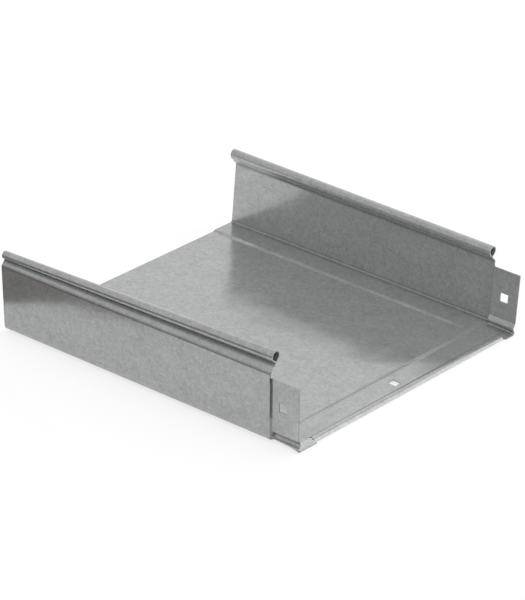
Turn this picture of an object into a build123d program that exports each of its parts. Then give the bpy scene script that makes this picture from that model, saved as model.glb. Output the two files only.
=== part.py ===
from build123d import *
from math import cos, copysign, radians, sin, tan
import os

# Solid cable tray, folded from one galvanised sheet.
# X runs across the tray, Y along it, Z up. The body's front end is at Y = 0 while it is drawn,
# with the coupling end at -Y; at the end the origin goes to the middle of the floor panel's underside.

# Sheet and overall sizes
SHEET = 0.8
WIDTH = 250.0
WALL_HEIGHT = 60.0
BODY_LENGTH = 235.0
COUPLING_LENGTH = 23.2

# Bend at the foot of the walls, measured on the middle of the sheet
FOOT_RADIUS = 2.2

# Degrees by which each wall has sprung outwards, at the coupling end and at the free end
LEFT_LEAN_FRONT = 4.0
LEFT_LEAN_BACK = 5.8
RIGHT_LEAN_FRONT = 0.0
RIGHT_LEAN_BACK = 1.5

# How much higher than the right wall the left one stands
LEFT_RISE = 2.8

# Rim: a shoulder leans in to a neck, and the sheet then curls into a hollow roll above it
CURL_DIAMETER = 7.4
CURL_INSET = 0.6
CURL_GAP = 0.35
SHOULDER_RADIUS = 1.2
NECK_RADIUS = 0.8
RIM_SLANT = 45.0

# The left roll is tight at the free end and has sprung open towards the coupling end
OPEN_DIAMETER = 8.2
OPEN_INSET = 2.0
TIGHT_DIAMETER = 5.8
TIGHT_INSET = 1.0

# Floor panel, pressed down between two edge strips; the slant is measured from upright
PANEL_DEPTH = 1.0
STRIP_WIDTH = 20.0
PANEL_CORNER = 8.0
PRESS_SLANT = 68.0

# Coupling end: set in, so that it slides into the next tray, with its floor falling to the lip
JOGGLE_LENGTH = 1.3
FLANGE_HEIGHT = 44.2
FLANGE_INSET = 1.6
LEFT_FLANGE_LEAN = 4.2
RIGHT_FLANGE_LEAN = 2.0
FLANGE_BEND = 2.0
FLOOR_FALL = 0.5
CORNER_FALL = 1.0

# Groove rolled along the foot of each coupling flange, above a rounded bulge
BULGE_RADIUS = 1.5
GROOVE_RADIUS = 1.2
GROOVE_SLANT = 30.0
GROOVE_START = 3.2
GROOVE_SLOPE = 3.0

# Lip: the front edge of the floor, creased and then curved down between two corner pieces
CREASE_Y = 16.2
CREASE_RADIUS = 1.0
CREASE_RISE = 15.0
LIP_RADIUS = 5.0
LIP_ANGLE = 50.0
LEFT_CORNER = 21.9
RIGHT_CORNER = 13.5
SLIT = 0.4
RELIEF_RADIUS = 0.9
RELIEF_SET = 1.7

# Square holes for coach bolts, placed from the body's front end and from the underside of the strips
HOLE = 6.5
LEFT_HOLE_Y = 10.1
LEFT_HOLE_HEIGHT = 27.2
RIGHT_HOLE_Y = 11.9
RIGHT_HOLE_HEIGHT = 23.4
FLOOR_HOLE_Y = 9.2

# Values that follow from the sizes above
HALF_SHEET = SHEET / 2
STRIP_LEVEL = PANEL_DEPTH
CREASE_LEVEL = STRIP_LEVEL - FLOOR_FALL
CORNER_LEVEL = CREASE_LEVEL - CORNER_FALL
LIP_LEFT = LEFT_CORNER - WIDTH / 2
LIP_RIGHT = WIDTH / 2 - RIGHT_CORNER
LIP_MIDDLE = (LIP_LEFT + LIP_RIGHT) / 2
LIP_SPAN = LIP_RIGHT - LIP_LEFT
BEYOND = 20.0


def trace(run, start, shift=0.0):
    """Edges of a run that sets out in +X, on a line that lies shift to the left of it.

    In a run, a lone number is a straight length and a pair is a turn in degrees with its radius.
    """
    point, heading = Vector(*start), 0.0
    edges = []
    for step in run:
        ahead = Vector(cos(radians(heading)), sin(radians(heading)))
        left = Vector(-ahead.Y, ahead.X)
        if isinstance(step, tuple):
            turn, radius = step
            hand = copysign(1, turn)
            edges.append(JernArc(point + left * shift, ahead, radius - hand * shift, turn))
            heading += turn
            centre = point + left * hand * radius
            point = centre + Vector(sin(radians(heading)), -cos(radians(heading))) * hand * radius
        else:
            edges.append(Line(point + left * shift, point + left * shift + ahead * step))
            point += ahead * step
    return edges


def end_of(run):
    """How far a run reaches across (X) and up (Y)."""
    return trace(run, (0, 0))[-1] @ 1


def outline(y, level, left_side, right_side):
    """Closed outline of the sheet across the tray at y, its floor at level; a side is (foot, run)."""
    middle = level + HALF_SHEET
    halves = []
    for foot, run in (left_side, right_side):
        under = trace(run, (foot, middle), -HALF_SHEET)
        over = trace(run, (foot, middle), HALF_SHEET)
        tip = Line(under[-1] @ 1, over[-1] @ 1)
        halves.append([*under, tip, *reversed(over)])
    left, right = halves
    left = [edge.mirror(Plane.YZ) for edge in left]
    under_floor = Line(left[0] @ 0, right[0] @ 0)
    over_floor = Line(left[-1] @ 0, right[-1] @ 0)
    flat = Wire([under_floor, *right, over_floor, *reversed(left)])
    return Plane(origin=(0, y, 0), x_dir=(1, 0, 0), z_dir=(0, -1, 0)) * flat


def rim(diameter, inset):
    """Run of the rim above the wall: its roll has a diameter and starts inset from the wall's face."""
    radius = diameter / 2 - HALF_SHEET
    slant = radians(RIM_SLANT)
    flank = radius - NECK_RADIUS
    reach = inset + radius * (1 - sin(slant)) - SHOULDER_RADIUS * (1 - cos(slant))
    slope = flank + reach / sin(slant)
    return [
        (RIM_SLANT, SHOULDER_RADIUS),
        slope,
        (-2 * RIM_SLANT, NECK_RADIUS),
        flank,
        (180 + 2 * RIM_SLANT, radius),
        radius - SHEET - CURL_GAP,
    ]


def body_side(lean, rise=0.0, diameter=CURL_DIAMETER, inset=CURL_INSET):
    """Side of the body, its wall leaning out by lean degrees and taller than usual by rise."""
    foot = WIDTH / 2 - HALF_SHEET - FOOT_RADIUS
    usual = [(90, FOOT_RADIUS), *rim(CURL_DIAMETER, CURL_INSET)]
    outer = trace(usual, (0, HALF_SHEET), -HALF_SHEET)
    wall = WALL_HEIGHT - max(edge.bounding_box().max.Y for edge in outer)
    return foot, [(90 - lean, FOOT_RADIUS), wall + rise, *rim(diameter, inset)]


def body():
    """Full-height length of the tray."""
    front_left = body_side(LEFT_LEAN_FRONT, LEFT_RISE, OPEN_DIAMETER, OPEN_INSET)
    back_left = body_side(LEFT_LEAN_BACK, LEFT_RISE, TIGHT_DIAMETER, TIGHT_INSET)
    outlines = [
        outline(0, STRIP_LEVEL, front_left, body_side(RIGHT_LEAN_FRONT)),
        outline(BODY_LENGTH, STRIP_LEVEL, back_left, body_side(RIGHT_LEAN_BACK)),
    ]
    return Solid.make_loft(outlines, ruled=True)


def flange_side(level, wall_lean, lean, rise=0.0):
    """Side of the coupling: bulge, groove at a fixed height, then the flange leaning out to its top.

    At its top the flange lies inside the body's wall, which leans by wall_lean, by the inset.
    """
    bulge = (90 + GROOVE_SLANT, BULGE_RADIUS)
    middle = level + HALF_SHEET
    top = STRIP_LEVEL + FLANGE_HEIGHT + rise
    climb = STRIP_LEVEL + GROOVE_START - middle - end_of([bulge]).Y
    run = [
        bulge,
        climb / cos(radians(GROOVE_SLANT)),
        (-2 * GROOVE_SLANT, GROOVE_RADIUS),
        GROOVE_SLOPE,
        (GROOVE_SLANT - lean, FLANGE_BEND),
    ]
    run.append((top - middle - end_of(run).Y) / cos(radians(lean)))
    reach = WIDTH / 2 + (top - STRIP_LEVEL) * tan(radians(wall_lean)) - FLANGE_INSET
    foot = reach - HALF_SHEET * cos(radians(lean)) - end_of(run).X
    return foot, run


def joggle_side(wall_lean, lean, rise=0.0):
    """Side at the body's end, divided into as many steps as the coupling's side and leaning as the wall."""
    coupling_run = flange_side(STRIP_LEVEL, wall_lean, lean, rise)[1]
    heights = [(edge @ 1).Y for edge in trace(coupling_run, (0, 0))]
    bend = (90 - wall_lean, FOOT_RADIUS)
    heights[0] = end_of([bend]).Y
    steps = [(upper - lower) / cos(radians(wall_lean)) for lower, upper in zip(heights, heights[1:])]
    return WIDTH / 2 - HALF_SHEET - FOOT_RADIUS, [bend, *steps]


def coupling():
    """Joggled and narrower end, its floor falling towards the front."""
    left = (LEFT_LEAN_FRONT, LEFT_FLANGE_LEAN, LEFT_RISE)
    right = (RIGHT_LEAN_FRONT, RIGHT_FLANGE_LEAN)
    outlines = [outline(0, STRIP_LEVEL, joggle_side(*left), joggle_side(*right))]
    for y, level in (
        (-JOGGLE_LENGTH, STRIP_LEVEL),
        (-CREASE_Y, CREASE_LEVEL),
        (-COUPLING_LENGTH, CORNER_LEVEL),
    ):
        outlines.append(outline(y, level, flange_side(level, *left), flange_side(level, *right)))
    return Solid.make_loft(outlines, ruled=True)


def lip():
    """Strip at the front of the floor, creased upwards and then curved down."""
    run = [(CREASE_RISE, CREASE_RADIUS), (-CREASE_RISE - LIP_ANGLE, LIP_RADIUS)]
    start = (0, CREASE_LEVEL + HALF_SHEET)
    under = trace(run, start, -HALF_SHEET)
    over = trace(run, start, HALF_SHEET)
    back = Line(under[0] @ 0, over[0] @ 0)
    front = Line(under[-1] @ 1, over[-1] @ 1)
    section = make_face([*under, front, *over, back])
    section = Plane(origin=(0, -CREASE_Y, 0), x_dir=(0, -1, 0), z_dir=(-1, 0, 0)) * section
    return Pos(LIP_MIDDLE, 0, 0) * extrude(section, amount=LIP_SPAN / 2 - SLIT, both=True)


def fit_lip(sheet):
    """Put the lip in place of the floor's front edge, with a slit and a round relief at each end."""
    room = COUPLING_LENGTH - CREASE_Y + BEYOND
    sheet -= Pos(LIP_MIDDLE, -CREASE_Y - room / 2, 0) * Box(LIP_SPAN, room, BEYOND)
    sheet += lip()
    for x in (LIP_LEFT + SLIT / 2, LIP_RIGHT - SLIT / 2):
        sheet -= Pos(x, -CREASE_Y - RELIEF_SET, 0) * Cylinder(RELIEF_RADIUS, BEYOND)
    return sheet


def pan(level, grow):
    """Block that stands on a face at level and narrows downwards, in the shape of the pressed panel."""
    half = WIDTH / 2 - STRIP_WIDTH
    back = BODY_LENGTH + BEYOND
    face = Pos(0, back / 2) * Rectangle(2 * (half + grow), back + 2 * grow)
    face = fillet(face.vertices().group_by(Axis.Y)[0], PANEL_CORNER + grow)
    return extrude(Pos(0, 0, level) * face, amount=-PANEL_DEPTH, taper=PRESS_SLANT)


def press_panel(sheet):
    """Press the floor panel down by its depth, open at the free end."""
    slant = radians(PRESS_SLANT)
    over_grow = SHEET * (tan(slant) - 1 / cos(slant))
    past_end = Pos(0, BODY_LENGTH + BEYOND, 0) * Box(WIDTH, 2 * BEYOND, WALL_HEIGHT)
    return sheet + (pan(STRIP_LEVEL, 0) - past_end) - pan(STRIP_LEVEL + SHEET, over_grow)


def bolt_holes():
    """Square punches through each flange and the coupling's floor."""
    across = Box(WIDTH, HOLE, HOLE)
    left = Pos(-WIDTH / 2, -LEFT_HOLE_Y, STRIP_LEVEL + LEFT_HOLE_HEIGHT) * across
    right = Pos(WIDTH / 2, -RIGHT_HOLE_Y, STRIP_LEVEL + RIGHT_HOLE_HEIGHT) * across
    return left + right + Pos(0, -FLOOR_HOLE_Y, 0) * Box(HOLE, HOLE, BEYOND)


tray = body() + coupling()
tray = press_panel(tray)
tray = fit_lip(tray)
tray -= bolt_holes()
tray = Pos(0, -BODY_LENGTH / 2, 0) * tray

os.makedirs("parts", exist_ok=True)
export_step(tray, "parts/tray.step")
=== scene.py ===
"""Galvanised cable tray on a pale studio floor, seen as in the photograph.

Metres throughout, in the tray's own frame: X across, Y along with the coupling end at -Y, Z up.
Only the zinc's material works in millimetres of that frame.
"""
import math

import bpy
import numpy as np
from mathutils import Matrix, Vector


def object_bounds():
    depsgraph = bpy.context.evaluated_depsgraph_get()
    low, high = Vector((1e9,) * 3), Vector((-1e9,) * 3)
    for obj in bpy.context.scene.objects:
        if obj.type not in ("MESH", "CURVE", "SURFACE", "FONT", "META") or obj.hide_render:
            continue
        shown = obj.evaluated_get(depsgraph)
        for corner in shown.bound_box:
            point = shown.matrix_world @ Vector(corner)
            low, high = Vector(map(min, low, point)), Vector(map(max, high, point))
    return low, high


MM = 0.001

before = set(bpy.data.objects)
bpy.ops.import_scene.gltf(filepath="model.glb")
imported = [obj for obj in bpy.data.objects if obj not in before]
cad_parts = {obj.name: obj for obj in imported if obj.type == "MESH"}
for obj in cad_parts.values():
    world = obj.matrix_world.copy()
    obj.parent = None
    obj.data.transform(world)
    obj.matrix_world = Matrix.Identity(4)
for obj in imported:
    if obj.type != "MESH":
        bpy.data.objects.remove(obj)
cad_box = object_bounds()


# Shader maths


class Value:
    """One value in a material; sums and products of values add the shader's own maths."""

    def __init__(self, shader, socket):
        self.shader = shader
        self.socket = socket

    def maths(self, operation, *others):
        node = self.shader.add("Math", {"operation": operation}, dict(enumerate((self, *others))))
        return node[0]

    def __add__(self, other):
        return self.maths("ADD", other)

    def __sub__(self, other):
        return self.maths("SUBTRACT", other)

    def __rsub__(self, other):
        return (self * -1.0).maths("ADD", other)

    def __mul__(self, other):
        return self.maths("MULTIPLY", other)

    def __truediv__(self, other):
        return self.maths("DIVIDE", other)

    __radd__ = __add__
    __rmul__ = __mul__

    def between(self, low, high):
        """0 below low and 1 above high, turning smoothly in between; low may be the larger."""
        settings = {"interpolation_type": "SMOOTHSTEP"}
        return self.shader.add("MapRange", settings, {0: self, 1: low, 2: high})[0]

    def near(self, middle, outer, inner):
        """1 up to an inner distance from the middle, turning smoothly to 0 at an outer one."""
        return (self - middle).maths("ABSOLUTE").between(outer, inner)


class Shader:
    """The nodes of one material or world."""

    def __init__(self, owner):
        owner.use_nodes = True
        self.tree = owner.node_tree
        self.tree.nodes.clear()

    def add(self, kind, settings=None, sockets=None):
        """A node of a kind, its settings made first and then its sockets; gives its outputs as values."""
        node = self.tree.nodes.new("ShaderNode" + kind)
        for name, value in (settings or {}).items():
            setattr(node, name, value)
        for name, value in (sockets or {}).items():
            if isinstance(value, Value):
                self.tree.links.new(value.socket, node.inputs[name])
            else:
                node.inputs[name].default_value = value
        return [Value(self, output) for output in node.outputs if output.enabled]

    def vector(self, operation, first, second=None):
        """Vector maths on one vector, or on it and a second vector or a scale."""
        sockets = {0: first}
        if second is not None:
            sockets["Scale" if operation == "SCALE" else 1] = second
        return self.add("VectorMath", {"operation": operation}, sockets)[0]

    def shown(self):
        """1 where the studio is seen, straight, in gloss or through glass, and 0 where it gives light."""
        path = self.add("LightPath")
        return path[0] + path[3] + path[6]

    def mix(self, amount, first, second):
        """Colour that goes from first to second as amount goes from 0 to 1."""
        return self.add("Mix", {"data_type": "RGBA"}, {0: amount, 6: first, 7: second})[0]


def grey(level, warmth=0.0):
    """Neutral colour of a linear level, its red raised and its blue lowered by warmth."""
    return (level * (1 + warmth), level, level * (1 - warmth), 1.0)


# Finishes


ZINC = (0.562, 0.578, 0.578, 1.0)
ZINC_METAL_SHARE = 0.66

# The walls' front end and length, and the square hole's half side and edge, in mm
WALL_FRONT = -117.5
WALL_LENGTH = 235.0
SQUARE_HALF = 3.25
SQUARE_EDGE = 0.04


def galvanised_steel():
    """Zinc-dipped sheet: fine crystals that differ in shade, gloss and tilt, soft clouds, slight waves.

    The gloss is rougher along the pressed panel's front border. The base colour carries painted shade: it
    is darkened in hollows, where ambient occlusion finds little open sky, and in lines along the sharp
    folds, grooves, the joggle and the lip's crease, where shade falls. It is also darker on the cut faces.
    All lengths in this function are in mm.
    """
    material = bpy.data.materials.new("galvanised_steel")
    shader = Shader(material)
    place = shader.vector("SCALE", shader.add("TexCoord")[3], 1 / MM)
    x, y, z = shader.add("SeparateXYZ", None, {0: place})
    width = x.maths("ABSOLUTE")

    def crystals(size):
        """Random colour of each zinc crystal of a size."""
        settings = {"feature": "F1", "voronoi_dimensions": "3D"}
        return shader.add("TexVoronoi", settings, {"Vector": place, "Scale": 1 / size})[1]

    def cloud(size, detail):
        """Soft noise from 0 to 1 with blots of a size."""
        return shader.add("TexNoise", None, {"Vector": place, "Scale": 1 / size, "Detail": detail})[0]

    def fold(across, front, back, reach):
        """1 along a straight fold from its front to its back point (across, z), fading out over a reach."""
        along = (y - WALL_FRONT) / WALL_LENGTH
        aside = across - front[0] - along * (back[0] - front[0])
        above = z - front[1] - along * (back[1] - front[1])
        return (aside * aside + above * above).between(reach ** 2, 0.0)

    left = x.between(-117.0, -119.0)
    coupling = y.between(-118.6, -119.6)
    floor = z.between(3.0, 2.0)
    square = SQUARE_HALF + SQUARE_EDGE, SQUARE_HALF
    # Painted shade along the bends: the base colour is darkened in lines on the shoulders, under the roll,
    # at the right wall's foot, in the coupling's groove and under its bulge, in the joggle and in the lip's
    # crease, where shade falls. The cut faces of the square hole, the left wall's end and the flanges'
    # front end are darkened too.
    painted_shade_and_cut_edges = {
        "left wall's shoulder": (0.35, fold(x, (-128.15, 51.3), (-129.65, 51.1), 1.5)),
        "left neck under the roll": (0.50, fold(x, (-123.3, 57.1), (-126.7, 55.2), 3.2)),
        "right wall's shoulder": (0.25, fold(x, (124.1, 48.5), (125.3, 48.4), 1.5)),
        "right wall's foot": (0.30, fold(x, (123.7, 2.4), (123.7, 2.4), 2.2)),
        "top of the groove": (0.60, fold(width, (122.6, 7.4), (122.6, 7.4), 1.6) * coupling),
        "bottom of the groove": (0.45, fold(width, (122.7, 3.1), (122.7, 3.1), 0.9) * coupling),
        "underside of the bulge": (0.65, fold(width, (122.4, -0.4), (122.4, -0.4), 2.0) * coupling),
        "joggle": (0.40, y.near(-118.15, 0.8, 0.3) * left),
        "square hole's edge": (0.60, y.near(-127.6, *square) * z.near(28.2, *square) * left),
        "left wall's cut end": (0.50, y.near(-117.7, 0.5, 0.4) * z.near(48.5, 4.5, 3.5) * left),
        "flanges' cut end": (0.35, y.between(-140.6, -140.65) * z.between(3.0, 4.0)),
        "lip's crease": (0.30, y.near(-134.0, 0.7, 0.0) * floor),
    }

    crystal = shader.add("SeparateColor", None, {0: crystals(2.0)})
    # Painted shade: the base colour is darkened in hollows, where ambient occlusion within 4 mm finds
    # little open sky
    open_sky = shader.add("AmbientOcclusion", {"samples": 8}, {"Distance": 4 * MM})[1]
    shade = 0.34 + 0.11 * crystal[0] + 0.32 * cloud(1.2, 2) + 0.16 * cloud(5, 3) + 0.14 * cloud(18, 3)
    shade = shade * (0.40 + 0.60 * open_sky.between(0.25, 0.9))
    # The painted shade lines and the darker cut faces darken the tone
    for strength, mark in painted_shade_and_cut_edges.values():
        shade = shade * (1 - strength * mark)
    colour = shader.mix(shade, grey(0.0), ZINC)

    pressed_border = y.near(-116.2, 3.0, 1.6) * floor
    rough = 0.11 + 0.05 * crystal[1] + 0.05 * cloud(1.3, 2) + 0.06 * cloud(9, 3)
    rough = rough + 0.30 * pressed_border

    tilt = shader.vector("SUBTRACT", crystals(2.0), (0.5, 0.5, 0.5))
    tilt = shader.vector("SCALE", tilt, 0.012)
    normal = shader.vector("ADD", shader.add("NewGeometry")[1], tilt)
    normal = shader.vector("NORMALIZE", normal)
    for strength, height, relief in ((1.0, 0.9, cloud(46, 1)), (0.2, 0.04, cloud(0.6, 4))):
        sockets = {"Strength": strength, "Distance": height * MM, "Height": relief, "Normal": normal}
        normal = shader.add("Bump", None, sockets)[0]

    metal = shader.add("BsdfPrincipled", None, {
        "Base Color": colour, "Metallic": ZINC_METAL_SHARE, "Roughness": rough, "Normal": normal,
    })[0]
    shader.add("OutputMaterial", None, {"Surface": metal})
    return material


def studio_floor():
    """Pale matt paper, shown a good deal whiter than its shadows make it."""
    material = bpy.data.materials.new("studio_floor")
    shader = Shader(material)
    paper = shader.add("BsdfPrincipled", None, {"Base Color": grey(0.92), "Roughness": 0.9})[0]
    white = shader.add("Emission", None, {"Color": grey(1.0), "Strength": 1.0})[0]
    both = shader.add("MixShader", None, {0: shader.shown() * 0.75, 1: paper, 2: white})[0]
    shader.add("OutputMaterial", None, {"Surface": both})
    return material


def card_finish(name, colour):
    """Studio card of an even colour."""
    material = bpy.data.materials.new(name)
    shader = Shader(material)
    glow = shader.add("Emission", None, {"Color": colour, "Strength": 1.0})[0]
    shader.add("OutputMaterial", None, {"Surface": glow})
    return material


# Studio


def studio_sheet(name, corners, material):
    """Flat sheet with its corners given in order round it."""
    mesh = bpy.data.meshes.new(name)
    mesh.from_pydata(corners, [], [range(len(corners))])
    mesh.materials.append(material)
    piece = bpy.data.objects.new(name, mesh)
    bpy.context.scene.collection.objects.link(piece)
    return piece


def card(name, corners, colour):
    """Studio card that is only seen in the gloss of the metal."""
    piece = studio_sheet(name, corners, card_finish(name, colour))
    piece.visible_camera = False
    piece.visible_diffuse = False
    piece.visible_shadow = False


def soft_box(name, size, power, place):
    """Square lamp of a size in metres and a power in watts that shines from a place towards the tray."""
    lamp = bpy.data.lights.new(name, "AREA")
    lamp.shape = "SQUARE"
    lamp.size = size
    lamp.energy = power
    piece = bpy.data.objects.new(name, lamp)
    bpy.context.scene.collection.objects.link(piece)
    back = np.asarray(place) / np.linalg.norm(place)
    right = np.cross((0, 1, 0), back) / np.linalg.norm(np.cross((0, 1, 0), back))
    up = np.cross(back, right)
    turn = Matrix([(*row, 0) for row in np.stack([right, up, back], axis=1)] + [(0, 0, 0, 1)])
    piece.matrix_world = Matrix.Translation(place) @ turn


def studio_world():
    """Even white all round."""
    world = bpy.data.worlds.new("studio")
    bpy.context.scene.world = world
    shader = Shader(world)
    white = shader.add("Background", None, {"Color": grey(1.0), "Strength": 1.0})[0]
    shader.add("OutputWorld", None, {"Surface": white})


def photo_camera():
    """Camera at the photograph's angle, fitted to the tray's edges in it."""
    data = bpy.data.cameras.new("camera")
    data.sensor_width = 36.0
    data.lens = 225.89
    data.clip_start = 0.1
    data.clip_end = 50.0
    camera = bpy.data.objects.new("camera", data)
    bpy.context.scene.collection.objects.link(camera)
    camera.location = (-1.87351, -1.43909, 1.16157)
    camera.rotation_euler = [math.radians(turn) for turn in (64.19201562, -3.00078235, -51.21305088)]
    bpy.context.scene.camera = camera


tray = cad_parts["tray"]
tray.data.materials.clear()
tray.data.materials.append(galvanised_steel())

FLOOR_HALF = 6.0
floor_level = cad_box[0][2] - 0.1 * MM
card_level = floor_level + 0.2 * MM
round_it = ((-1, -1), (1, -1), (1, 1), (-1, 1))
floor_corners = [(x * FLOOR_HALF, y * FLOOR_HALF, floor_level) for x, y in round_it]
studio_sheet("studio_floor", floor_corners, studio_floor())

soft_box("side_light", 1.2, 3.2, (1.3, -0.8, 0.95))
soft_box("top_light", 0.8, 5.0, (0.0, -0.8, 1.6))
soft_box("lip_light", 0.16, 0.09, (1.17, 0.59, 1.03))

PALE_SKY = grey(0.7, 0.01)
PALE_GROUND = grey(0.82)
BROWN_GROUND = (0.05, 0.025, 0.005, 1.0)
# Dark grey of a card that puts painted shade into the left wall's joggle step through its gloss
JOGGLE_SHADE_GREY = grey(0.14, 0.05)

# Edge between the pale card and the brown one beyond it, mirrored high on the near wall
ground_edge = [(-0.238, -0.10), (-0.183, 0.061), (-0.175, 0.102), (-0.13, 0.172)]
lying_cards = {
    "table_card": (PALE_GROUND, [(-0.13, -0.12)] + ground_edge),
    "far_card": (BROWN_GROUND, ground_edge + [(-0.4, 1.0), (-1.3, -0.45)]),
    # step_card: dark card, seen only in gloss, that stands in for the shade in the joggle's step
    "step_card": (JOGGLE_SHADE_GREY, [(-0.127, -0.158), (-0.127, -0.5), (-0.5, -0.5), (-0.2, -0.1)]),
}
sky_corners = [(-2.4, 0.2, 0.1), (0.2, 2.6, 0.1), (1.1, 1.9, 2.4), (-0.9, -0.2, 2.4)]
low_corners = [
    (-1.3, -0.45, floor_level), (-0.4, 1.0, floor_level), (-0.4, 1.0, 0.07), (-1.3, -0.45, 0.07),
]
card("sky_card", sky_corners, PALE_SKY)
card("low_card", low_corners, BROWN_GROUND)
for name, (colour, corners) in lying_cards.items():
    card(name, [(x, y, card_level) for x, y in corners], colour)
studio_world()
photo_camera()

bpy.context.scene.view_settings.view_transform = "Standard"
